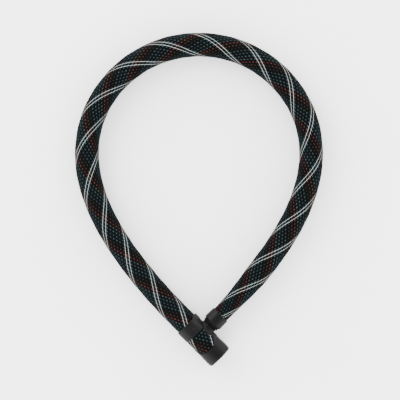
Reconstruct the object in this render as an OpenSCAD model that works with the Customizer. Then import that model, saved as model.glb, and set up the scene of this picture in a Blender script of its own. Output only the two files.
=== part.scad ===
// Textile-sleeved square-link chain lock, closed, lying flat. Millimetres.
// The loop lies in XY and +Z is up. The lock points down and to the right,
// and the chain's free end plugs into its side with a steel bolt.
// Inside "at_lock" x runs down the lock to its key end, and y runs out along the bolt.

/* [Chain path] */

// bend of each sleeve segment from the lock to the top of the loop (degrees)
bends = [4.5, 5, 8.5, 13.5, 20, 22.5, 20.5, 20.5, 20];
// length of one sleeve segment along its centre line
segment_length = 41.4; // [36:0.1:46]
// heading of the chain where the loop starts (degrees)
first_heading = 135; // [120:1:150]
// height of the loop's start below the middle of the whole part
loop_start = -117.7; // [-130:0.1:-100]
// gap between sleeve segments that lets them turn
segment_gap = 0.7; // [0.3:0.1:1.5]

/* [Chain links] */

// side of the square bar
bar = 6; // [4:0.5:8]
// inside length of a link
link_inner_length = 22.4; // [18:0.1:28]
// inside width of a link
link_inner_width = 8.8; // [7:0.1:11]
// outer corner radius of a link
link_corner = 9; // [3:0.5:10]
// inner corner radius of a link
link_inner_corner = 2.5; // [1:0.1:4]

/* [Textile sleeve] */

// outer radius of the sleeve
sleeve_radius = 12.1; // [10:0.1:15]
// wall of the sleeve
sleeve_wall = 0.8; // [0.5:0.1:2]
// outer radius where the sleeve enters the ferrule
sleeve_end_radius = 8.8; // [7:0.1:11]

/* [Lock body] */

// height of the lock's axis over the surface
axis_height = 13.8; // [12:0.1:18]
// radius of the steel housing
housing_radius = 12.6; // [11:0.1:15]
// radius of the spigot that the sleeve is pushed over
spigot_radius = 11; // [10:0.1:13]
// radius of the front collar
collar_radius = 13.7; // [12.5:0.1:16]
// where the collar starts and ends along the lock
collar_span = [-17.5, -3.8];
// radius of the end cap at its widest
cap_radius = 13.8; // [12.8:0.1:16]
// where the end cap's outer face lies along the lock
cap_end = 31.4; // [26:0.1:36]
// where the textile window ends along the lock
window_end = 18; // [14:0.1:22]
// where the tips of the cap's side tongues lie
tongue_tip = 7.6; // [4:0.1:12]
// radius of the textile jacket in the window
jacket_radius = 13.5; // [12.8:0.1:14]

/* [Bolt] */

// radius of the bolt's shank
bolt_radius = 5; // [4:0.1:6]
// how deep the bolt reaches past the lock's axis
bolt_depth = 8; // [6:0.1:10]
// radius at the bottom of the latch groove
groove_radius = 3.2; // [2.5:0.1:4]
// radius of the seal ring and the neck
neck_radius = 8.1; // [7:0.1:9.5]
// radius of the ferrule
ferrule_radius = 10.2; // [9:0.1:12]
// where the ferrule starts and ends along the bolt
ferrule_span = [19, 31.4];

/* [Lock cylinder] */

// radius of the cylinder's shell
shell_radius = 8; // [7:0.1:9]
// radius of the turning plug
plug_radius = 5.2; // [4:0.1:6]
// radius at which the cam pin is set
cam_throw = 2.6; // [2:0.1:3]
// place of the pin that holds the chain, along the lock
anchor_pin_x = -14.85; // [-15.5:0.05:-14]
// radius of the pin that holds the chain
anchor_pin_radius = 2.9; // [2:0.1:3.5]
// width of the keyway
keyway_width = 2.2; // [1.6:0.1:3]
// height of the keyway
keyway_height = 7.6; // [6:0.1:9]

/* [Hidden] */

$fn = 96;
count = 2 * len(bends);
moving = count - 1;
link_outer_length = link_inner_length + 2 * bar;
link_outer_width = link_inner_width + 2 * bar;
link_pitch = segment_length / 2;
sleeve_inner = sleeve_radius - sleeve_wall;
fit = 0.08;
bush_inner = bolt_radius + fit;
bush_outer = bush_inner + 0.9;
cam_angle = 45;
cam_pin_radius = 1.1;

function digits(i) = str(i < 10 ? "0" : "", i);

// node to build

// ---- path of the loop ----

function bend(i) = i < len(bends) ? bends[i] : bends[count - 1 - i];

function bend_radius(i) = segment_length / (bend(i) * PI / 180);

function heading(i) = i == 0 ? first_heading : heading(i - 1) - bend(i - 1);

function chord(i) = 2 * bend_radius(i) * sin(bend(i) / 2);

function step(i) = chord(i) * [cos(heading(i) - bend(i) / 2), sin(heading(i) - bend(i) / 2)];

function walked(i) = i == 0 ? [0, 0] : walked(i - 1) + step(i - 1);

function station(i) = walked(i) + [-walked(count)[0] / 2, loop_start];

// the loop's two ends meet the lock's axis and the bolt's axis at the same distance
lock_reach = -station(0)[0] / cos(45);
lock_centre = [0, station(0)[1] + station(0)[0]];

module at_lock() {
    translate([lock_centre[0], lock_centre[1], axis_height])
        rotate([0, 0, -45])
            children();
}

// puts x along the path, a distance d into segment i
module on_path(i, d = 0) {
    radius = bend_radius(i);
    translate([station(i)[0], station(i)[1], axis_height])
        rotate([0, 0, heading(i)])
            translate([0, -radius, 0])
                rotate([0, 0, -d / radius * 180 / PI])
                    translate([0, radius, 0])
                        children();
}

// ---- helpers ----

module along_x(from, to, r1, r2) {
    translate([from, 0, 0])
        rotate([0, 90, 0])
            cylinder(r1 = r1, r2 = r2, h = to - from);
}

module rod_x(from, to, r) {
    along_x(from, to, r, r);
}

module rod_y(from, to, r) {
    translate([0, from, 0])
        rotate([-90, 0, 0])
            cylinder(r = r, h = to - from);
}

module cone_y(from, to, r1, r2) {
    translate([0, from, 0])
        rotate([-90, 0, 0])
            cylinder(r1 = r1, r2 = r2, h = to - from);
}

module tube_x(from, to, outer, inner) {
    difference() {
        rod_x(from, to, outer);
        rod_x(from - 1, to + 1, inner);
    }
}

module slab(x, y, z) {
    translate([x[0], y[0], z[0]])
        cube([x[1] - x[0], y[1] - y[0], z[1] - z[0]]);
}

module rounded(length, width, r) {
    square([length - 2 * r, width], center = true);
    square([length, width - 2 * r], center = true);
    for (sx = [-1, 1])
        for (sy = [-1, 1])
            translate([sx * (length / 2 - r), sy * (width / 2 - r)])
                circle(r = r);
}

// ---- chain ----

module chain_link() {
    linear_extrude(height = bar, center = true)
        difference() {
            rounded(link_outer_length, link_outer_width, link_corner);
            rounded(link_inner_length, link_inner_width, link_inner_corner);
        }
}

module link_pair(i) {
    color([0.62, 0.63, 0.65]) {
        on_path(i, link_pitch / 2)
            chain_link();
        on_path(i, link_pitch * 1.5)
            rotate([90, 0, 0])
                chain_link();
    }
}

module sleeve_segment(i) {
    radius = bend_radius(i);
    trim = segment_gap / 2 / radius * 180 / PI;
    color([0.1, 0.12, 0.13])
        on_path(i)
            translate([0, -radius, 0])
                rotate([0, 0, 90 - bend(i) + trim])
                    rotate_extrude(angle = bend(i) - 2 * trim)
                        translate([radius, 0])
                            difference() {
                                circle(r = sleeve_radius);
                                circle(r = sleeve_inner);
                            }
}

// a flat forged link, slimmer at the end that the lock holds
module anchor_link() {
    far = -lock_reach - (link_inner_length - link_pitch) / 2;
    near = anchor_pin_x + 3.05;
    color([0.62, 0.63, 0.65])
        at_lock()
            rotate([90, 0, 0])
                linear_extrude(height = bar, center = true)
                    difference() {
                        union() {
                            translate([(far - bar + near) / 2, 0])
                                rounded(near - far + bar, 17.2, 6);
                            translate([near + 4 - 7.6, 0])
                                rounded(15.2, 16, 5);
                        }
                        translate([(far + near) / 2, 0])
                            rounded(near - far, link_inner_width, link_inner_corner);
                    }
}

module sleeve_lead() {
    color([0.1, 0.12, 0.13])
        at_lock()
            tube_x(-lock_reach + segment_gap / 2, -8, sleeve_radius, sleeve_inner);
}

module chain_anchor_pin() {
    color([0.75, 0.75, 0.77])
        at_lock()
            translate([anchor_pin_x, 0, 0])
                rod_y(-10.5, 10.5, anchor_pin_radius);
}

// ---- lock body ----

module lock_housing() {
    color([0.45, 0.46, 0.48])
        at_lock()
            difference() {
                union() {
                    rod_x(-17.2, -4, spigot_radius);
                    rod_x(-4, 29.8, housing_radius);
                }
                slab([-18, -7.5], [-3.2, 3.2], [-8.9, 8.9]);
                translate([anchor_pin_x, 0, 0])
                    rod_y(-12, 12, anchor_pin_radius + 0.02);
                rod_y(-bolt_depth - 0.8, 1, bush_inner);
                rod_y(0.4, 14, bush_outer + 0.02);
                slab([-6.8, 10.4], [-4, 0.4], [-9.6, 8.9]);
                rod_x(9.8, 12.7, 5.2);
                rod_x(12.6, 31, shell_radius + 0.02);
                translate([21, 0, 0])
                    rod_y(-14, 0, 1.6);
            }
}

// plan of the cap's tongue, seen along the bolt
module tongue_plan(grow = 0) {
    nose = 5.6 + grow;
    translate([tongue_tip + 5.6, 0])
        circle(r = nose);
    translate([tongue_tip + 5.6, -nose])
        square([window_end - tongue_tip, 2 * nose]);
    polygon([
        [tongue_tip + 5.6, nose],
        [window_end - grow, 12.2],
        [window_end - grow, 16],
        [window_end + 8, 16],
        [window_end + 8, -16],
        [window_end - grow, -16],
        [window_end - grow, -12.2],
        [tongue_tip + 5.6, -nose]
    ]);
}

// plan of the saddle around the bolt's socket, seen along the bolt
module saddle_plan(grow = 0) {
    intersection() {
        translate([2.2, 0])
            circle(r = 10.6 + grow);
        translate([collar_span[1] - 1, -20])
            square([20, 40]);
    }
}

module front_collar() {
    from = collar_span[0];
    to = collar_span[1];
    color([0.23, 0.23, 0.24])
        at_lock()
            difference() {
                union() {
                    along_x(from, from + 0.6, collar_radius - 0.5, collar_radius);
                    rod_x(from + 0.6, to - 0.5, collar_radius);
                    along_x(to - 0.5, to, collar_radius, collar_radius - 0.4);
                    intersection() {
                        rod_x(from - 2, from + 4.6, collar_radius + 0.7);
                        slab([from - 3, from + 6], [9.4, 16], [-9, 9]);
                    }
                }
                rod_x(from - 3, to - 3.8, sleeve_radius + 0.02);
                rod_x(from + 1, to + 1, housing_radius + 0.02);
                rod_y(10, 20, neck_radius + 0.6);
            }
}

module body_sleeve() {
    color([0.1, 0.12, 0.13])
        at_lock()
            difference() {
                tube_x(collar_span[1] + 0.05, window_end + 0.2, jacket_radius, housing_radius + 0.02);
                rotate([90, 0, 0])
                    linear_extrude(height = 40, center = true)
                        tongue_plan(0.05);
                rotate([-90, 0, 0])
                    linear_extrude(height = 20)
                        saddle_plan(0.05);
            }
}

module end_cap() {
    inner = housing_radius + 0.02;
    color([0.23, 0.23, 0.24])
        at_lock()
            difference() {
                union() {
                    rod_x(tongue_tip - 1, window_end, cap_radius - 0.5);
                    along_x(window_end, window_end + 7, cap_radius - 0.5, cap_radius);
                    rod_x(window_end + 7, cap_end - 2.4, cap_radius);
                    along_x(cap_end - 2.4, cap_end - 0.7, cap_radius, cap_radius - 0.5);
                    along_x(cap_end - 0.7, cap_end, cap_radius - 0.5, cap_radius - 1.6);
                }
                rod_x(tongue_tip - 2, 29.9, inner);
                rod_x(20, cap_end + 1, plug_radius + 0.9);
                along_x(cap_end - 0.6, cap_end + 0.01, plug_radius + 0.9, plug_radius + 1.7);
                difference() {
                    slab([tongue_tip - 3, window_end], [-20, 20], [-20, 20]);
                    rotate([90, 0, 0])
                        linear_extrude(height = 60, center = true)
                            tongue_plan();
                }
                rotate([-90, 0, 0])
                    linear_extrude(height = 20)
                        saddle_plan(0.05);
            }
}

module socket_bezel() {
    color([0.27, 0.27, 0.28])
        at_lock()
            difference() {
                union() {
                    intersection() {
                        tube_x(collar_span[1] + 0.05, 14, cap_radius + 0.1, housing_radius + 0.02);
                        rotate([-90, 0, 0])
                            linear_extrude(height = 20)
                                saddle_plan();
                    }
                    difference() {
                        union() {
                            rod_y(9, 13.6, neck_radius + 0.5);
                            cone_y(13.6, 14.2, neck_radius + 0.5, neck_radius - 0.1);
                        }
                        rod_x(-20, 20, housing_radius + 0.02);
                    }
                }
                rod_y(0, 20, bush_outer + 0.02);
            }
}

module socket_bush() {
    color([0.7, 0.7, 0.72])
        at_lock()
            difference() {
                rod_y(0.5, 13.6, bush_outer);
                rod_y(-1, 20, bush_inner);
                cone_y(12.4, 13.61, bush_inner, bush_inner + 0.6);
            }
}

// ---- lock cylinder ----

module cylinder_shell() {
    color([0.78, 0.68, 0.42])
        at_lock()
            difference() {
                rod_x(12.8, 29.8, shell_radius);
                rod_x(12, 31, plug_radius + fit);
                translate([21, 0, 0])
                    rod_y(-9, -6.2, 1.6);
                slab([14.2, 27], [-0.5, 0.5], [plug_radius - 1, plug_radius + 1.4]);
                slab([14.2, 27], [-0.5, 0.5], [-plug_radius - 1.4, -plug_radius + 1]);
            }
}

module cylinder_pin() {
    color([0.75, 0.75, 0.77])
        at_lock()
            translate([21, 0, 0])
                rod_y(-12.2, -6.4, 1.58);
}

module cylinder_plug() {
    color([0.82, 0.72, 0.45])
        at_lock()
            difference() {
                union() {
                    rod_x(12.4, 30.2, plug_radius);
                    along_x(30.2, 30.6, plug_radius, plug_radius - 0.4);
                }
                translate([13.6, -keyway_width / 2, -keyway_height / 2])
                    cube([18, keyway_width, keyway_height]);
                for (i = [0:4])
                    slab([14.6 + 1.7 * i, 15.5 + 1.7 * i], [-3.1, 3.1], [-4, 4]);
                slab([27.6, 28.5], [-6, 6], [4.2, 6]);
                slab([27.6, 28.5], [-6, 6], [-6, -4.2]);
                shutter_place()
                    rod_y(-3, 3, 0.5);
            }
}

module key_wafers() {
    color([0.85, 0.75, 0.4])
        at_lock()
            for (i = [0:4])
                difference() {
                    slab([14.7 + 1.7 * i, 15.4 + 1.7 * i], [-2.9, 2.9], [-3.7, 3.7]);
                    slab([14 + 1.7 * i, 16 + 1.7 * i], [-1.3, 1.3], [-2.6 + 0.3 * (i % 3), 2.2 + 0.3 * (i % 3)]);
                }
}

module plug_clip() {
    color([0.5, 0.5, 0.52])
        at_lock()
            intersection() {
                tube_x(27.7, 28.4, plug_radius - 0.02, 3.6);
                union() {
                    slab([27, 29], [-6, 6], [4.25, 6]);
                    slab([27, 29], [-6, 6], [-6, -4.25]);
                }
            }
}

module cam_disc() {
    color([0.6, 0.6, 0.62])
        at_lock() {
            rod_x(10.7, 12.4, 4.8);
            translate([0, -cam_throw * cos(cam_angle), -cam_throw * sin(cam_angle)])
                rod_x(8.1, 10.7, cam_pin_radius);
        }
}

// slides up to close its throat around the groove of the bolt
module latch_fork() {
    lift = 2 * cam_throw * sin(cam_angle);
    slot_half = groove_radius + 0.3;
    pin_z = -cam_throw * sin(cam_angle);
    color([0.55, 0.56, 0.58])
        at_lock()
            difference() {
                union() {
                    slab([-6.5, 7], [-3.8, 0.2], [-9.2, 4.4]);
                    slab([7, 10], [-3.8, 0.2], [pin_z - 3, pin_z + 3]);
                }
                rod_y(-5, 2, bolt_radius + 0.6);
                translate([0, 0, -lift])
                    rod_y(-5, 2, slot_half);
                slab([-slot_half, slot_half], [-5, 2], [-lift, 6]);
                slab([7.9, 11], [-5, 2], [pin_z - cam_pin_radius - 0.15, pin_z + cam_pin_radius + 0.15]);
            }
}

module shutter_place() {
    translate([29.2, 0, 2.9])
        children();
}

module keyhole_shutter() {
    color([0.3, 0.3, 0.32])
        at_lock()
            difference() {
                union() {
                    slab([28.95, 29.45], [-0.9, 0.9], [-3.5, 2.9]);
                    shutter_place()
                        rod_y(-0.9, 0.9, 0.82);
                }
                shutter_place()
                    rod_y(-2, 2, 0.54);
            }
}

module shutter_pin() {
    color([0.7, 0.7, 0.72])
        at_lock()
            shutter_place()
                rod_y(-2.9, 2.9, 0.48);
}

// ---- bolt ----

module locking_bolt() {
    head = ferrule_span[0];
    color([0.72, 0.72, 0.74])
        at_lock()
            difference() {
                union() {
                    cone_y(-bolt_depth, -bolt_depth + 1.6, bolt_radius - 1.4, bolt_radius);
                    rod_y(-bolt_depth + 1.6, -4.2, bolt_radius);
                    rod_y(-4.2, 0.6, groove_radius);
                    rod_y(0.6, head, bolt_radius);
                    rod_y(head - 2.4, head - 0.1, neck_radius);
                    rod_y(head - 0.1, head + 6, 7);
                }
                rod_y(head + 0.6, head + 7, 4.55);
                translate([0, head + 3.2, 0])
                    rod_x(-8, 8, 1.5);
            }
}

module seal_ring() {
    head = ferrule_span[0];
    color([0.06, 0.06, 0.06])
        at_lock()
            difference() {
                union() {
                    cone_y(14.4, 14.8, neck_radius - 0.5, neck_radius);
                    rod_y(14.8, 15.8, neck_radius);
                    cone_y(15.8, head - 2.42, neck_radius, neck_radius - 0.6);
                }
                rod_y(10, 20, bolt_radius + 0.02);
            }
}

module bolt_ferrule() {
    from = ferrule_span[0];
    to = ferrule_span[1];
    color([0.25, 0.25, 0.26])
        at_lock()
            difference() {
                union() {
                    cone_y(from, from + 1, ferrule_radius - 0.9, ferrule_radius);
                    rod_y(from + 1, to - 1.2, ferrule_radius);
                    cone_y(to - 1.2, to, ferrule_radius, ferrule_radius - 0.8);
                }
                rod_y(from - 1, from + 6.4, 7.02);
                rod_y(from + 6.3, to + 1, sleeve_end_radius + 0.35);
            }
}

module tail_pin() {
    color([0.75, 0.75, 0.77])
        at_lock()
            translate([0, ferrule_span[0] + 3.2, 0])
                rod_x(-6.8, 6.8, 1.48);
}

// the steel tail that the chain's last link hooks into
module bolt_tail() {
    head = ferrule_span[0];
    hook = (link_inner_length - link_pitch) / 2;
    color([0.66, 0.66, 0.69])
        difference() {
            union() {
                at_lock()
                    rod_y(head + 0.7, head + 46.5, 4.5);
                on_path(moving, hook + 3.2)
                    linear_extrude(height = bar, center = true)
                        rounded(16.6, 14.8, 5);
            }
            on_path(moving, hook + 2.9)
                linear_extrude(height = 20, center = true)
                    rounded(7.2, 8, 2);
            at_lock()
                translate([0, head + 3.2, 0])
                    rod_x(-8, 8, 1.5);
        }
}

// the last segment narrows towards the ferrule
module sleeve_tail() {
    i = moving;
    long = chord(i);
    wall = sleeve_wall;
    color([0.1, 0.12, 0.13])
        translate([station(i)[0], station(i)[1], axis_height])
            rotate([0, 0, heading(i) - bend(i) / 2])
                difference() {
                    union() {
                        rod_x(segment_gap / 2, 2, sleeve_radius);
                        along_x(2, 12, sleeve_radius, 11);
                        along_x(12, 24, 11, 9.6);
                        along_x(24, long + 4, 9.6, sleeve_end_radius);
                    }
                    rod_x(-1, 2, sleeve_inner);
                    along_x(2, 12, sleeve_inner, 11 - wall);
                    along_x(12, 24, 11 - wall, 9.6 - wall);
                    along_x(24, long + 4.01, 9.6 - wall, sleeve_end_radius - wall);
                }
}

// ---- draw ----

lock_housing();
front_collar();
body_sleeve();
end_cap();
socket_bezel();
socket_bush();
chain_anchor_pin();
anchor_link();
sleeve_lead();
cylinder_shell();
cylinder_pin();
cylinder_plug();
key_wafers();
plug_clip();
cam_disc();
latch_fork();
keyhole_shutter();
shutter_pin();
locking_bolt();
seal_ring();
bolt_ferrule();
bolt_tail();
tail_pin();
sleeve_tail();

for (i = [1:moving]) {
    link_pair(i - 1);
    sleeve_segment(i - 1);
}
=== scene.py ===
import math

import bpy
import numpy as np
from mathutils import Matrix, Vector


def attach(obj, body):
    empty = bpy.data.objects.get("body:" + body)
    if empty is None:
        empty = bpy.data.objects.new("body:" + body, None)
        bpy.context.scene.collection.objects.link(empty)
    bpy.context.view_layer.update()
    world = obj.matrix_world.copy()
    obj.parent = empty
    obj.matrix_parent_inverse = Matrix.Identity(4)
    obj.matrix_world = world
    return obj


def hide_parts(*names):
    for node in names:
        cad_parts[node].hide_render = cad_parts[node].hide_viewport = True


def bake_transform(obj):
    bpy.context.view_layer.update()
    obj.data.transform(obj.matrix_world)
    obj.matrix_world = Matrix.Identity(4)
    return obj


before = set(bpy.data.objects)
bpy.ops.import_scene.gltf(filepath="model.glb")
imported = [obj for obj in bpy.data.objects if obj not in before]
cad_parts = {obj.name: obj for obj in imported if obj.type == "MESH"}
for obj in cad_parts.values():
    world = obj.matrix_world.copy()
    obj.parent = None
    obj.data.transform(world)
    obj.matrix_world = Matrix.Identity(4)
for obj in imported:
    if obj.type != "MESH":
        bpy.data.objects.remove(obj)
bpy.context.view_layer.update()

MM = 0.001
TAU = 2 * math.pi

# ---- the loop's path, as in the CAD source (millimetres) ----

BENDS = (4.5, 5, 8.5, 13.5, 20, 22.5, 20.5, 20.5, 20)
TURNS = np.array(BENDS + BENDS[::-1])
SEGMENT = 41.4
FIRST_HEADING = 135.0
LOOP_START = -117.7
AXIS_HEIGHT = 13.8
LAST = len(TURNS)
LOOP_LENGTH = SEGMENT * LAST


def make_stations():
    heads = FIRST_HEADING - np.concatenate([[0], np.cumsum(TURNS)])
    chords = 2 * (SEGMENT / np.radians(TURNS)) * np.sin(np.radians(TURNS / 2))
    mid = np.radians(heads[:-1] - TURNS / 2)
    steps = np.stack([chords * np.cos(mid), chords * np.sin(mid)], 1)
    points = np.concatenate([[[0, 0]], np.cumsum(steps, 0)])
    points += [-points[-1, 0] / 2, LOOP_START]
    return points, heads


STATIONS, HEADINGS = make_stations()
LOCK_REACH = -STATIONS[0, 0] / math.cos(math.pi / 4)
LOCK_CENTRE = np.array([0, STATIONS[0, 1] + STATIONS[0, 0], AXIS_HEIGHT])


def path(s):
    """Centre line points and headings (radians) at distances s along the chain."""
    s = np.asarray(s, float)
    i = np.clip((s // SEGMENT).astype(int), 0, LAST - 1)
    d = s - i * SEGMENT
    inside = np.clip(d, 0, SEGMENT)
    turn = np.radians(TURNS[i]) * inside / SEGMENT
    head0 = np.radians(HEADINGS[i])
    chord = 2 * (SEGMENT / np.radians(TURNS[i])) * np.sin(turn / 2)
    x = STATIONS[i, 0] + chord * np.cos(head0 - turn / 2)
    y = STATIONS[i, 1] + chord * np.sin(head0 - turn / 2)
    head = head0 - turn
    over = d - inside
    return x + over * np.cos(head), y + over * np.sin(head), head


def smooth(t):
    t = np.clip(t, 0, 1)
    return t * t * (3 - 2 * t)


def lock_to_row(x, y, z):
    """Points of the lock's own frame (x to the key end, y out along the bolt) in the row frame, in metres."""
    q = math.sqrt(0.5)
    out = np.stack([q * (x + y), q * (y - x), z + 0 * x], -1)
    return (out + LOCK_CENTRE) * MM


# ---- meshes ----


def new_mesh(name, points, faces, uv=None, smooth_faces=True):
    mesh = bpy.data.meshes.new(name)
    mesh.vertices.add(len(points))
    mesh.vertices.foreach_set("co", np.asarray(points, np.float32).ravel())
    faces = np.asarray(faces, np.int32)
    mesh.loops.add(faces.size)
    mesh.loops.foreach_set("vertex_index", faces.ravel())
    mesh.polygons.add(len(faces))
    mesh.polygons.foreach_set("loop_start", np.arange(0, faces.size, faces.shape[1], dtype=np.int32))
    mesh.polygons.foreach_set("loop_total", np.full(len(faces), faces.shape[1], np.int32))
    mesh.update(calc_edges=True)
    mesh.polygons.foreach_set("use_smooth", np.full(len(faces), smooth_faces))
    if uv is not None:
        layer = mesh.uv_layers.new(name="weave")
        layer.data.foreach_set("uv", np.asarray(uv, np.float32).ravel())
    mesh.validate()
    mesh.update()
    obj = bpy.data.objects.new(name, mesh)
    bpy.context.scene.collection.objects.link(obj)
    return obj


def grid(name, points, wrap_rows=False, wrap_columns=True, uv=None, flip=False):
    """A mesh over points[row, column]; uv holds a value per grid corner with one more column when wrapped."""
    rows, columns = points.shape[:2]
    r = np.arange(rows if wrap_rows else rows - 1)
    c = np.arange(columns if wrap_columns else columns - 1)
    rr, cc = np.meshgrid(r, c, indexing="ij")
    r1, c1 = (rr + 1) % rows, (cc + 1) % columns
    quads = np.stack([rr * columns + cc, rr * columns + c1, r1 * columns + c1, r1 * columns + cc], -1)
    corners = None
    if uv is not None:
        corners = np.stack([uv[rr, cc], uv[rr, cc + 1], uv[rr + 1, cc + 1], uv[rr + 1, cc]], -2)
    if flip:
        quads = quads[..., ::-1]
        corners = None if corners is None else corners[..., ::-1, :]
    quads = quads.reshape(-1, 4)
    if corners is not None:
        corners = corners.reshape(-1, 2)
    return new_mesh(name, points.reshape(-1, 3), quads, corners)


def rounded_profile(corners, steps=5):
    """Rounds a profile of (u, v, radius) corners into a list of points."""
    out = []
    n = len(corners)
    for k, (u, v, radius) in enumerate(corners):
        p = np.array([u, v], float)
        if radius <= 0 or k in (0, n - 1):
            out.append(p)
            continue
        before = np.array(corners[k - 1][:2], float) - p
        after = np.array(corners[k + 1][:2], float) - p
        lb, la = np.linalg.norm(before), np.linalg.norm(after)
        before, after = before / lb, after / la
        half = math.acos(np.clip(before @ after, -1, 1)) / 2
        cut = min(radius / math.tan(half), lb * 0.49, la * 0.49)
        a, b = p + before * cut, p + after * cut
        for t in np.linspace(0, 1, steps + 1):
            out.append((1 - t) ** 2 * a + 2 * t * (1 - t) * p + t * t * b)
    return np.array(out)


# ---- materials ----


class Nodes:
    """Small helper around a material's node tree."""

    def __init__(self, name):
        self.material = bpy.data.materials.new(name)
        self.material.use_nodes = True
        self.tree = self.material.node_tree
        self.shader = self.tree.nodes["Principled BSDF"]

    def add(self, kind, **settings):
        node = self.tree.nodes.new(kind)
        for key, value in settings.items():
            setattr(node, key, value)
        return node

    def link(self, a, b):
        self.tree.links.new(a, b)

    def put(self, socket, value):
        if isinstance(value, bpy.types.NodeSocket):
            self.link(value, socket)
        else:
            socket.default_value = value

    def math(self, operation, a, b=0.0, c=None, clamp=False):
        node = self.add("ShaderNodeMath", operation=operation, use_clamp=clamp)
        self.put(node.inputs[0], a)
        self.put(node.inputs[1], b)
        if c is not None:
            self.put(node.inputs[2], c)
        return node.outputs[0]

    def mix(self, factor, a, b, blend="MIX"):
        node = self.add("ShaderNodeMix", data_type="RGBA", blend_type=blend)
        self.put(node.inputs["Factor"], factor)
        self.put(node.inputs[6], a)
        self.put(node.inputs[7], b)
        return node.outputs[2]

    def ramp(self, factor, stops, interpolation="LINEAR"):
        node = self.add("ShaderNodeValToRGB")
        node.color_ramp.interpolation = interpolation
        elements = node.color_ramp.elements
        while len(elements) < len(stops):
            elements.new(1.0)
        for element, (position, colour) in zip(elements, stops):
            element.position = position
            element.color = colour
        self.put(node.inputs["Fac"], factor)
        return node.outputs["Color"]

    def noise(self, vector, scale, detail=4.0, roughness=0.5):
        node = self.add("ShaderNodeTexNoise")
        self.link(vector, node.inputs["Vector"])
        node.inputs["Scale"].default_value = scale
        node.inputs["Detail"].default_value = detail
        node.inputs["Roughness"].default_value = roughness
        return node

    def bump(self, height, distance, strength=1.0, normal=None):
        node = self.add("ShaderNodeBump")
        node.inputs["Distance"].default_value = distance
        node.inputs["Strength"].default_value = strength
        self.link(height, node.inputs["Height"])
        if normal is not None:
            self.link(normal, node.inputs["Normal"])
        return node.outputs["Normal"]

    def set(self, **values):
        for key, value in values.items():
            self.put(self.shader.inputs[key.replace("_", " ")], value)


SHADE = 0.36


def rgb(r, g, b):
    """An sRGB colour, 0 to 255, as linear RGBA, darkened to suit the bright surroundings."""
    out = []
    for v in (r, g, b):
        v /= 255
        out.append(SHADE * (v / 12.92 if v <= 0.04045 else ((v + 0.055) / 1.055) ** 2.4))
    return (*out, 1.0)


def grey(v):
    return (v, v, v, 1.0)


BLACK_YARN = rgb(10, 10, 11)
ROW_COLOURS = (
    rgb(98, 48, 40),
    rgb(66, 42, 30),
    rgb(32, 31, 29),
    rgb(46, 74, 76),
    rgb(42, 68, 78),
    rgb(50, 78, 80),
    rgb(66, 78, 80),
)
WHITE_YARN = rgb(222, 232, 230)
PALE_GLINT = rgb(146, 168, 172)


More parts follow.
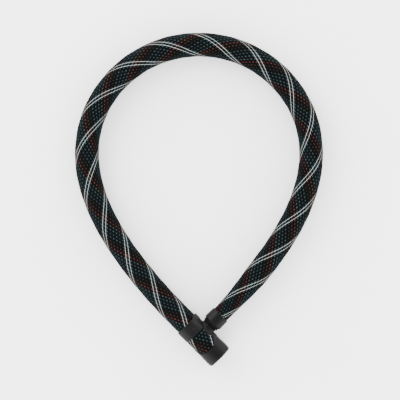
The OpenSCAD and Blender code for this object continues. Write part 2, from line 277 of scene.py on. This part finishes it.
def weave_material(name):
    n = Nodes(name)
    uv = n.add("ShaderNodeUVMap", uv_map="weave")
    split = n.add("ShaderNodeSeparateXYZ")
    n.link(uv.outputs["UV"], split.inputs[0])
    a, b = split.outputs["X"], split.outputs["Y"]
    ar, br = n.math("ROUND", a), n.math("ROUND", b)
    fa, fb = n.math("SUBTRACT", a, ar), n.math("SUBTRACT", b, br)
    odd = n.math("FLOORED_MODULO", n.math("ADD", ar, br), 2.0)
    # colour of the strand that runs up the sleeve, by its place in the repeat of fourteen
    place = n.math("DIVIDE", n.math("ADD", n.math("FLOORED_MODULO", br, 14.0), 0.5), 14.0)
    stops = []
    for k, colour in enumerate(ROW_COLOURS):
        stops += [(2 * k / 14, colour), ((2 * k + 1) / 14, BLACK_YARN)]
    rows = n.ramp(place, stops, "CONSTANT")
    # the thin pair of pale strands that runs the other way
    slot_a = n.math("FLOORED_MODULO", ar, 14.0)
    pale = n.math("ADD", n.math("COMPARE", slot_a, 0.0, 0.1), n.math("COMPARE", slot_a, 2.0, 0.1))
    wave = n.math("COSINE", n.math("MULTIPLY", n.math("ADD", ar, b), math.pi))
    pale_over = n.math("MULTIPLY", pale, n.math("GREATER_THAN", wave, -0.94))
    pale_width = n.math("LESS_THAN", n.math("ABSOLUTE", fa), 0.135)
    pale_over = n.math("MULTIPLY", pale_over, pale_width)
    # each stitch varies a little in shade
    cell = n.add("ShaderNodeCombineXYZ")
    n.link(ar, cell.inputs[0])
    n.link(br, cell.inputs[1])
    white = n.add("ShaderNodeTexWhiteNoise", noise_dimensions="3D")
    n.link(cell.outputs[0], white.inputs["Vector"])
    drift = n.noise(uv.outputs["UV"], 0.18, 2.0)
    hue = n.add("ShaderNodeHueSaturation")
    n.link(rows, hue.inputs["Color"])
    n.link(n.math("MULTIPLY_ADD", drift.outputs["Fac"], 0.16, 0.42), hue.inputs["Hue"])
    n.link(n.math("MULTIPLY_ADD", white.outputs["Value"], 0.7, 0.65), hue.inputs["Value"])
    strand_b = n.mix(n.math("MULTIPLY", odd, 1.0), BLACK_YARN, hue.outputs["Color"])
    # a stitch shows its colour in its middle and turns to the black yarn at its sides and ends: partly the dot's small
    # size, partly painted shade where it dips under its neighbours
    across = n.math("ABSOLUTE", fb)
    along = n.math("ABSOLUTE", fa)
    core = n.math("SUBTRACT", 1.0, n.math("MULTIPLY", n.math("POWER", n.math("MULTIPLY", across, 2.1), 3.0), 1.0), clamp=True)
    tip = n.math("SUBTRACT", 1.0, n.math("POWER", n.math("MULTIPLY", along, 2.0), 5.0), clamp=True)
    dot_and_edge_shade = n.math("MULTIPLY", core, tip)
    centre = n.math("ADD", n.math("MULTIPLY", fa, fa), n.math("MULTIPLY", fb, fb))
    glint = n.math("SUBTRACT", 0.3, n.math("MULTIPLY", centre, 9.0), clamp=True)
    coloured = n.math("LESS_THAN", n.math("FLOORED_MODULO", br, 2.0), 0.5)
    lit = n.mix(n.math("MULTIPLY", n.math("MULTIPLY", glint, odd), coloured), strand_b, PALE_GLINT)
    base = n.mix(dot_and_edge_shade, BLACK_YARN, lit)
    colour = n.mix(pale_over, base, WHITE_YARN)
    # filaments along each strand
    thread = n.math("SINE", n.math("MULTIPLY", n.math("ADD", fb, n.math("MULTIPLY", fa, 0.35)), 38.0))
    thread_a = n.math("SINE", n.math("MULTIPLY", n.math("ADD", fa, n.math("MULTIPLY", fb, 0.35)), 38.0))
    filament = n.math("ADD", n.math("MULTIPLY", odd, thread), n.math("MULTIPLY", n.math("SUBTRACT", 1.0, odd), thread_a))
    shade = n.mix(0.22, colour, n.ramp(n.math("MULTIPLY_ADD", thread, 0.5, 0.5), [(0.0, grey(0.3)), (1.0, grey(1.0))]), "MULTIPLY")
    n.set(Base_Color=shade, Roughness=n.math("MULTIPLY_ADD", white.outputs["Value"], 0.2, 0.5))
    n.shader.inputs["Sheen Weight"].default_value = 0.0
    n.shader.inputs["Sheen Roughness"].default_value = 0.45
    n.shader.inputs["Specular IOR Level"].default_value = 0.015
    n.set(Normal=n.bump(filament, 0.00008, 0.6))
    return n.material


def plastic_material(name, colour, rough, grain=0.00003):
    n = Nodes(name)
    where = n.add("ShaderNodeTexCoord").outputs["Object"]
    fine = n.noise(where, 2600.0, 3.0, 0.6)
    cloud = n.noise(where, 55.0, 4.0, 0.55)
    scuff = n.noise(where, 420.0, 6.0, 0.7)
    dark = tuple(v * 0.78 for v in colour[:3]) + (1.0,)
    light = tuple(min(1.0, v * 1.3 + 0.004) for v in colour[:3]) + (1.0,)
    n.set(Base_Color=n.ramp(cloud.outputs["Fac"], [(0.3, dark), (0.55, colour), (0.8, light)]))
    wear = n.math("MULTIPLY_ADD", scuff.outputs["Fac"], 0.22, rough - 0.11)
    n.set(Roughness=wear)
    n.shader.inputs["Specular IOR Level"].default_value = 0.06
    coarse = n.bump(cloud.outputs["Fac"], 0.00008, 0.3)
    n.set(Normal=n.bump(fine.outputs["Fac"], grain, 0.8, coarse))
    return n.material


def metal_material(name, colour, rough, stretch=(1.0, 1.0, 1.0)):
    n = Nodes(name)
    where = n.add("ShaderNodeTexCoord").outputs["Object"]
    mapping = n.add("ShaderNodeMapping")
    mapping.inputs["Scale"].default_value = stretch
    n.link(where, mapping.inputs["Vector"])
    lines = n.noise(mapping.outputs["Vector"], 900.0, 4.0, 0.65)
    cloud = n.noise(where, 90.0, 3.0)
    dark = tuple(v * 0.75 for v in colour[:3]) + (1.0,)
    n.set(Base_Color=n.ramp(cloud.outputs["Fac"], [(0.35, dark), (0.65, colour)]))
    n.shader.inputs["Metallic"].default_value = 1.0
    n.set(Roughness=n.math("MULTIPLY_ADD", lines.outputs["Fac"], 0.25, rough - 0.12))
    n.set(Normal=n.bump(lines.outputs["Fac"], 0.00002, 0.5))
    return n.material


def rubber_material(name):
    n = Nodes(name)
    where = n.add("ShaderNodeTexCoord").outputs["Object"]
    fine = n.noise(where, 1800.0, 4.0, 0.6)
    n.set(Base_Color=n.ramp(fine.outputs["Fac"], [(0.3, grey(0.001)), (0.7, grey(0.003))]))
    n.shader.inputs["Specular IOR Level"].default_value = 0.03
    n.set(Roughness=n.math("MULTIPLY_ADD", fine.outputs["Fac"], 0.2, 0.55))
    n.set(Normal=n.bump(fine.outputs["Fac"], 0.00003, 0.7))
    return n.material


def floor_material():
    n = Nodes("floor_paper")
    where = n.add("ShaderNodeTexCoord").outputs["Object"]
    soft = n.noise(where, 6.0, 3.0)
    n.set(Base_Color=n.ramp(soft.outputs["Fac"], [(0.3, grey(0.90)), (0.7, grey(0.93))]))
    n.shader.inputs["Roughness"].default_value = 0.9
    return n.material


WEAVE = weave_material("woven_textile")
LOCK_PLASTIC = plastic_material("charcoal_plastic", rgb(20, 19, 19), 0.42)
BEZEL_PLASTIC = plastic_material("bezel_plastic", rgb(18, 17, 18), 0.4)
STEEL = metal_material("hardened_steel", (0.15, 0.153, 0.16, 1), 0.38)
BOLT_STEEL = metal_material("bolt_steel", (0.21, 0.21, 0.22, 1), 0.3, (1.0, 1.0, 6.0))
DARK_STEEL = metal_material("dark_steel", (0.1, 0.1, 0.105, 1), 0.4)
BRASS = metal_material("turned_brass", (0.2, 0.145, 0.06, 1), 0.32)
COATED = plastic_material("coated_zinc", rgb(70, 71, 73), 0.5)
RUBBER = rubber_material("black_rubber")


def dress(obj, material):
    obj.data.materials.clear()
    obj.data.materials.append(material)
    return obj


# ---- the weave's geometry ----

ROWS_ROUND = 21
ROW_PITCH = 6.443
PALE_START = 28.4
RED_START = PALE_START + ROW_PITCH
PER_ROW = 8
STEP = ROW_PITCH / PER_ROW
COLUMNS = ROWS_ROUND * PER_ROW
SLEEVE_RADIUS = 12.36
END_RADIUS = 8.9


def weave_phase(s, theta):
    """Strand numbers of the two helical sets at distance s and angle theta."""
    round_part = 2 * ROWS_ROUND * (theta - math.pi / 2) / TAU
    a = 2 * (s - PALE_START) / ROW_PITCH - round_part
    b = 2 * (s - RED_START) / ROW_PITCH + round_part
    return a, b


def weave_height(a, b):
    """Height of the woven surface over its base, in millimetres."""
    ar, br = np.round(a), np.round(b)
    side_a = np.sqrt(np.clip(1 - (1.8 * (a - ar)) ** 2, 0, 1))
    side_b = np.sqrt(np.clip(1 - (1.8 * (b - br)) ** 2, 0, 1))
    top_b = -0.13 * np.cos(math.pi * (a + br)) + 0.2 * side_b
    top_a = 0.13 * np.cos(math.pi * (ar + b)) + 0.2 * side_a
    return np.maximum(top_a, top_b)


RELIEF = 0.33


def sleeve_radius(s):
    """Base radius of the tube: soft links under it, and a taper into the ferrule."""
    left = LOOP_LENGTH - s
    taper = np.interp(left, [-6, 0, 20, 36, 52, 66], [END_RADIUS, END_RADIUS, 9.7, 11.0, 12.0, SLEEVE_RADIUS])
    lumps = 0.1 * np.cos(TAU * (s / (SEGMENT / 2) - 0.5)) + 0.07 * np.sin(s / 23.0) + 0.05 * np.sin(s / 9.1 + 1.0)
    fade = smooth(left / 70) * smooth((s + 18) / 14)
    return taper + lumps * fade - RELIEF


def sleeve_points(s, theta):
    x, y, head = path(s)
    a, b = weave_phase(s[:, None], theta[None, :])
    r = sleeve_radius(s)[:, None] + weave_height(a, b)
    out = r * np.cos(theta)[None, :]
    px = x[:, None] - np.sin(head)[:, None] * out
    py = y[:, None] + np.cos(head)[:, None] * out
    pz = AXIS_HEIGHT + r * np.sin(theta)[None, :]
    return np.stack([px, py, pz], -1) * MM


FIRST_RING = math.floor(-17.0 / STEP)
LAST_RING = math.ceil((LOOP_LENGTH + 3.0) / STEP)
THETA = np.arange(COLUMNS) * TAU / COLUMNS


def sleeve_piece(name, s0, s1):
    k0, k1 = round(s0 / STEP), round(s1 / STEP)
    offset = (PALE_START / STEP) % 1.0
    s = (np.arange(k0, k1 + 1) + offset) * STEP
    points = sleeve_points(s, THETA)
    theta = np.arange(COLUMNS + 1) * TAU / COLUMNS
    a, b = weave_phase(s[:, None], theta[None, :])
    obj = grid(name, points, uv=np.stack([a, b], -1), flip=False)
    return dress(obj, WEAVE)


def seam_normals(pieces):
    """Gives rings that two pieces share the same normals, so that no seam shows in the shading."""
    for obj in pieces:
        obj.data.update()
    for first, second in zip(pieces, pieces[1:]):
        n1 = np.array([v.normal for v in first.data.vertices]).reshape(-1, COLUMNS, 3)
        n2 = np.array([v.normal for v in second.data.vertices]).reshape(-1, COLUMNS, 3)
        shared = n1[-1] + n2[0]
        shared /= np.linalg.norm(shared, axis=1)[:, None]
        first["end_normals"] = shared.ravel().tolist()
        second["start_normals"] = shared.ravel().tolist()
    for obj in pieces:
        normals = np.array([v.normal for v in obj.data.vertices]).reshape(-1, COLUMNS, 3)
        if "start_normals" in obj:
            normals[0] = np.array(obj["start_normals"]).reshape(-1, 3)
            del obj["start_normals"]
        if "end_normals" in obj:
            normals[-1] = np.array(obj["end_normals"]).reshape(-1, 3)
            del obj["end_normals"]
        obj.data.normals_split_custom_set_from_vertices(normals.reshape(-1, 3))


MIDDLE = LAST // 2
cuts = [FIRST_RING * STEP] + [SEGMENT * (i + 0.5) for i in range(LAST)]
cuts = cuts[: MIDDLE + 1] + [SEGMENT * MIDDLE] + cuts[MIDDLE + 1 :] + [LAST_RING * STEP]
sleeves = [sleeve_piece(f"textile_{i + 1:02d}", cuts[i], cuts[i + 1]) for i in range(len(cuts) - 1)]
seam_normals(sleeves)


def chain_body(i):
    """The body of the segment between stations i - 1 and i."""
    return "lock_body" if i == 0 else "bolt" if i == LAST else f"chain_{i:02d}"


def hang(obj):
    """Bakes a piece of sleeve's placement into its mesh."""
    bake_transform(obj)


for i, obj in enumerate(sleeves):
    if i < MIDDLE:
        hang(obj)
        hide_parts("sleeve_lead" if i == 0 else f"sleeve_{i:02d}")
    elif i == MIDDLE:
        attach(obj, chain_body(MIDDLE))
        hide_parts(f"sleeve_{MIDDLE:02d}")
    elif i == MIDDLE + 1:
        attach(obj, chain_body(MIDDLE + 1))
        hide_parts(f"sleeve_{MIDDLE + 1:02d}")
    elif i <= LAST:
        hang(obj)
        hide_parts(f"sleeve_{i:02d}" if i < LAST else "sleeve_tail")
    else:
        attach(obj, "bolt")
        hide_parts("sleeve_tail")

# ---- lock body ----

COLLAR = (-17.5, -3.8)
COLLAR_RADIUS = 13.7
CAP_RADIUS = 13.8
CAP_END = 31.4
WINDOW_END = 18.0
PHI = np.linspace(0, TAU, 241)[:-1]


def ring_points(x, r, phi):
    """Points around the lock's x axis; phi is 0 on the bolt's side and a quarter turn at the top."""
    return lock_to_row(x + 0 * phi, r * np.cos(phi), r * np.sin(phi))


def cap_edge(phi):
    """Where the cap's front edge lies along the lock: a tongue on either side, scooped above and below."""
    z = np.abs(np.sin(phi))
    a = 0.05
    scoop = ((z * z + a * a) ** 0.3 - a**0.6) / ((1 + a * a) ** 0.3 - a**0.6)
    far_side = 7.4 + 10.6 * scoop
    bolt_side = np.interp(z, [0, 0.6, 0.72, 0.84, 0.95, 1.0], [9.0, 9.0, 11.2, 14.4, 17.2, 18.0])
    mix = smooth((np.cos(phi) + 0.15) / 0.3)
    return far_side * (1 - mix) + bolt_side * mix


def build_cap():
    edge = cap_edge(PHI)
    rows = []
    front = [(1.4, 12.66), (0.1, 12.66), (0.0, 12.8), (0.0, 13.1), (0.06, 13.38), (0.25, 13.56), (0.55, 13.62)]
    for dx, r in front:
        rows.append(ring_points(edge + dx, r, PHI))
    for t in np.linspace(0.08, 1, 22):
        x = (edge + 0.55) * (1 - t) + 25.0 * t
        r = 13.62 - 0.12 * smooth((x - edge - 0.5) / 3) + 0.3 * smooth((x - 15) / 9)
        rows.append(ring_points(x, r, PHI))
    end = rounded_profile(
        [
            (25.0, CAP_RADIUS, 0),
            (29.6, CAP_RADIUS, 1.5),
            (31.15, 12.7, 1.0),
            (CAP_END, 9.0, 3.0),
            (CAP_END, 7.0, 0.3),
            (30.9, 6.3, 0.3),
            (29.9, 6.15, 0.2),
            (29.9, 12.6, 0),
        ],
        6,
    )
    for x, r in end[1:]:
        rows.append(ring_points(np.full_like(PHI, x), r, PHI))
    obj = grid("cap_shell", np.array(rows), flip=False)
    dress(obj, LOCK_PLASTIC)
    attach(obj, "lock_body")
    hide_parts("end_cap")
    return obj


def build_collar():
    start, stop = COLLAR
    pad = smooth((np.cos(PHI) - math.cos(math.radians(52))) / 0.16)
    lift = 0.75 * pad
    front = start - 1.9 * pad
    rows = []
    profile = [
        (4.5, 12.62, 0, 0),
        (1.0, 12.5, 0, 0),
        (0.25, 12.5, 0, 0),
        (0.05, 12.62, 0, 0.3),
        (0.0, 12.9, 0, 0.6),
        (0.08, 13.3, 0, 0.9),
        (0.35, 13.6, 0, 1.0),
        (0.8, COLLAR_RADIUS, 0, 1.0),
    ]
    for dx, r, _, share in profile:
        rows.append(ring_points(front + dx, r + lift * share, PHI))
    for t in np.linspace(0.06, 1, 20):
        x = (front + 0.8) * (1 - t) + (stop - 0.9) * t
        fall = 1 - smooth((x - (start + 4.2)) / 1.6)
        rows.append(ring_points(x, COLLAR_RADIUS + lift * fall, PHI))
    tail = [(stop - 0.4, COLLAR_RADIUS - 0.05), (stop - 0.12, COLLAR_RADIUS - 0.22), (stop, COLLAR_RADIUS - 0.5)]
    tail += [(stop, 12.9), (stop - 0.1, 12.66), (stop - 2.0, 12.64)]
    for x, r in tail:
        rows.append(ring_points(np.full_like(PHI, x), r, PHI))
    obj = grid("collar_shell", np.array(rows), flip=False)
    dress(obj, LOCK_PLASTIC)
    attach(obj, "lock_body")
    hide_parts("front_collar")
    return obj


def build_jacket():
    """The textile in the lock body's window, dipping under the collar and the cap."""
    phi = np.arange(COLUMNS) * TAU / COLUMNS
    edge = cap_edge(math.pi - phi)
    s_from, s_to = -(LOCK_REACH + WINDOW_END + 1.5), -(LOCK_REACH - 5.2)
    offset = (PALE_START / STEP) % 1.0
    k0, k1 = round(s_from / STEP), round(s_to / STEP)
    s = (np.arange(k0, k1 + 1) + offset) * STEP
    x = -s - LOCK_REACH
    theta = phi
    a, b = weave_phase(s[:, None], theta[None, :])
    under_cap = smooth((x[:, None] - (edge[None, :] - 1.3)) / 1.6)
    under_collar = smooth((COLLAR[1] + 0.9 - x[:, None]) / 1.2)
    tuck = np.maximum(under_cap, under_collar)
    base = 13.02 - 0.62 * tuck
    r = base + weave_height(a, b) * (1 - 0.6 * tuck)
    xs = x[:, None] + 0 * r
    points = lock_to_row(xs, -r * np.cos(theta)[None, :], r * np.sin(theta)[None, :])
    theta1 = np.arange(COLUMNS + 1) * TAU / COLUMNS
    a1, b1 = weave_phase(s[:, None], theta1[None, :])
    obj = grid("window_textile", points, uv=np.stack([a1, b1], -1), flip=False)
    dress(obj, WEAVE)
    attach(obj, "lock_body")
    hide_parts("body_sleeve")
    return obj


def build_painted_edge_shade():
    """A black rubber strip along the window's edge under the cap: painted shade standing in for the shadow in the
    recess there.
    """
    edge = cap_edge(PHI)
    rows = []
    for dx, r in ((0.9, 12.8), (0.3, 13.2), (-0.1, 13.4), (-0.55, 13.45), (-0.95, 13.35), (-1.2, 13.1), (-1.3, 12.75)):
        rows.append(ring_points(edge + dx, r, PHI))
    obj = grid("window_edge_shade_strip", np.array(rows), flip=False)
    dress(obj, RUBBER)
    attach(obj, "lock_body")
    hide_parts("body_sleeve")
    return obj


def build_bezel():
    """The saddle and boss around the bolt's socket."""
    psi = np.linspace(0, TAU, 193)[:-1]
    cx = 2.2
    cos, sin = np.cos(psi), np.sin(psi)
    # reach of the saddle's rim from the bolt's axis, cut short at the collar
    rim = cx * cos + np.sqrt(10.6**2 - (cx * sin) ** 2)
    with np.errstate(divide="ignore"):
        limit = np.where(cos < -0.01, (COLLAR[1] + 0.04) / np.minimum(cos, -0.01), 99.0)
    rim = np.minimum(rim, limit)
    rim = np.maximum(rim, 8.75)
    rows = []

    def level(rho, height):
        x, z = rho * cos, rho * sin
        rows.append(lock_to_row(x, height, z))

    def on_body(rho, r):
        return np.sqrt(np.maximum(r * r - (rho * sin) ** 2, 1.0))

    level(rim - 0.1, on_body(rim - 0.1, 12.66))
    level(rim, on_body(rim, 13.0))
    level(rim, on_body(rim, 13.55))
    level(rim - 0.08, on_body(rim - 0.08, 13.8))
    level(rim - 0.3, on_body(rim - 0.3, 13.95))
    foot = 9.2
    for t in (0.25, 0.5, 0.75, 1.0):
        rho = (rim - 0.3) * (1 - t) + np.minimum(foot, rim - 0.35) * t
        level(rho, on_body(rho, 13.98))
    top = 14.2
    base = on_body(np.full_like(psi, 8.9), 13.98)
    for t in (0.15, 0.35, 0.6, 0.85, 1.0):
        rho = np.minimum(foot, rim - 0.35) * (1 - t) + 8.6 * t
        level(rho, base + (np.maximum(top - 0.6, base) - base) * t**2.2 * 0.5 + 0.0)
    level(np.full_like(psi, 8.58), np.full_like(psi, top - 0.45))
    level(np.full_like(psi, 8.45), np.full_like(psi, top - 0.15))
    level(np.full_like(psi, 8.1), np.full_like(psi, top))
    level(np.full_like(psi, 6.4), np.full_like(psi, top))
    level(np.full_like(psi, 6.05), np.full_like(psi, top - 0.3))
    level(np.full_like(psi, 6.0), np.full_like(psi, top - 1.4))
    obj = grid("socket_saddle", np.array(rows), flip=True)
    dress(obj, BEZEL_PLASTIC)
    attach(obj, "lock_body")
    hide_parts("socket_bezel")
    return obj


def build_ferrule():
    profile = rounded_profile(
        [
            (7.05, 24.0, 0),
            (7.05, 19.0, 0.2),
            (9.6, 19.0, 0.5),
            (10.2, 20.0, 0.8),
            (10.25, 25.0, 3.0),
            (10.0, 31.4, 1.3),
            (9.2, 31.4, 0.3),
            (9.15, 26.0, 0),
        ],
        6,
    )
    psi = np.linspace(0, TAU, 181)[:-1]
    rows = [lock_to_row(r * np.cos(psi), np.full_like(psi, y), r * np.sin(psi)) for r, y in profile]
    obj = grid("ferrule_shell", np.array(rows), flip=False)
    dress(obj, BEZEL_PLASTIC)
    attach(obj, "bolt")
    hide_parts("bolt_ferrule")
    return obj


def build_seal():
    """The black rubber seal that hides the bolt's neck, with a lip and a groove."""
    profile = rounded_profile(
        [
            (5.3, 14.45, 0),
            (7.6, 14.45, 0.3),
            (8.15, 14.8, 0.3),
            (8.15, 15.6, 0.3),
            (7.7, 15.9, 0.2),
            (7.85, 16.2, 0.2),
            (8.9, 16.6, 0.4),
            (9.0, 17.6, 0.3),
            (8.6, 17.9, 0.2),
            (8.6, 18.3, 0.2),
            (9.1, 18.5, 0.2),
            (9.1, 18.93, 0.1),
            (7.2, 18.97, 0),
        ],
        4,
    )
    psi = np.linspace(0, TAU, 181)[:-1]
    rows = [lock_to_row(r * np.cos(psi), np.full_like(psi, y), r * np.sin(psi)) for r, y in profile]
    obj = grid("seal_lip", np.array(rows), flip=True)
    dress(obj, RUBBER)
    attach(obj, "bolt")
    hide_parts("seal_ring")
    return obj


build_cap()
build_collar()
build_jacket()
build_painted_edge_shade()
build_bezel()
build_ferrule()
build_seal()

# ---- CAD parts that keep their shape ----

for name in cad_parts:
    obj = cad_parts[name]
    if name.startswith("link_pair") or name in ("anchor_link", "bolt_tail", "chain_anchor_pin", "latch_fork", "socket_bush"):
        dress(obj, STEEL)
    elif name == "locking_bolt":
        dress(obj, DARK_STEEL)
    elif name in ("cylinder_shell", "cylinder_plug", "key_wafers"):
        dress(obj, BRASS)
    elif name in ("cylinder_pin", "plug_clip", "cam_disc", "shutter_pin", "keyhole_shutter", "tail_pin"):
        dress(obj, BOLT_STEEL)
    elif name == "lock_housing":
        dress(obj, COATED)

# ---- camera, floor and light ----

IMAGE_WIDTH_MM = 412.0
camera_data = bpy.data.cameras.new("camera")
camera_data.lens = 150
camera_data.sensor_width = 36
distance = IMAGE_WIDTH_MM * MM * camera_data.lens / camera_data.sensor_width
camera = bpy.data.objects.new("camera", camera_data)
camera.location = (0.00103, -0.0005, AXIS_HEIGHT * MM + distance)
camera.rotation_euler = (0, 0, 0)
bpy.context.scene.collection.objects.link(camera)
bpy.context.scene.camera = camera

bpy.ops.mesh.primitive_plane_add(size=30, location=(0, 0, 0))
floor = bpy.context.object
floor.name = "floor"
dress(floor, floor_material())


def area_light(name, location, target, size, power):
    data = bpy.data.lights.new(name, "AREA")
    data.shape = "DISK"
    data.size = size
    data.energy = power
    obj = bpy.data.objects.new(name, data)
    obj.location = location
    direction = Vector(target) - Vector(location)
    obj.rotation_euler = direction.to_track_quat("-Z", "Y").to_euler()
    bpy.context.scene.collection.objects.link(obj)


area_light("key", (-1.5, 1.3, 1.5), (0, 0, 0), 1.6, 60)

# bright all round the horizon and dimmer overhead, like a white product tent with the camera's gap on top
world = bpy.data.worlds.new("tent")
world.use_nodes = True
tree = world.node_tree
background = tree.nodes["Background"]
where = tree.nodes.new("ShaderNodeTexCoord")
split = tree.nodes.new("ShaderNodeSeparateXYZ")
fade = tree.nodes.new("ShaderNodeValToRGB")
tree.links.new(where.outputs["Generated"], split.inputs[0])
tree.links.new(split.outputs["Z"], fade.inputs["Fac"])
tree.links.new(fade.outputs["Color"], background.inputs["Color"])
for place, level in ((0.3, 0.8), (0.62, 0.36)):
    fade.color_ramp.elements.new(place).color = grey(level)
fade.color_ramp.elements[0].color = grey(1.0)
fade.color_ramp.elements[-1].color = grey(0.16)
background.inputs["Strength"].default_value = 12.0
bpy.context.scene.world = world
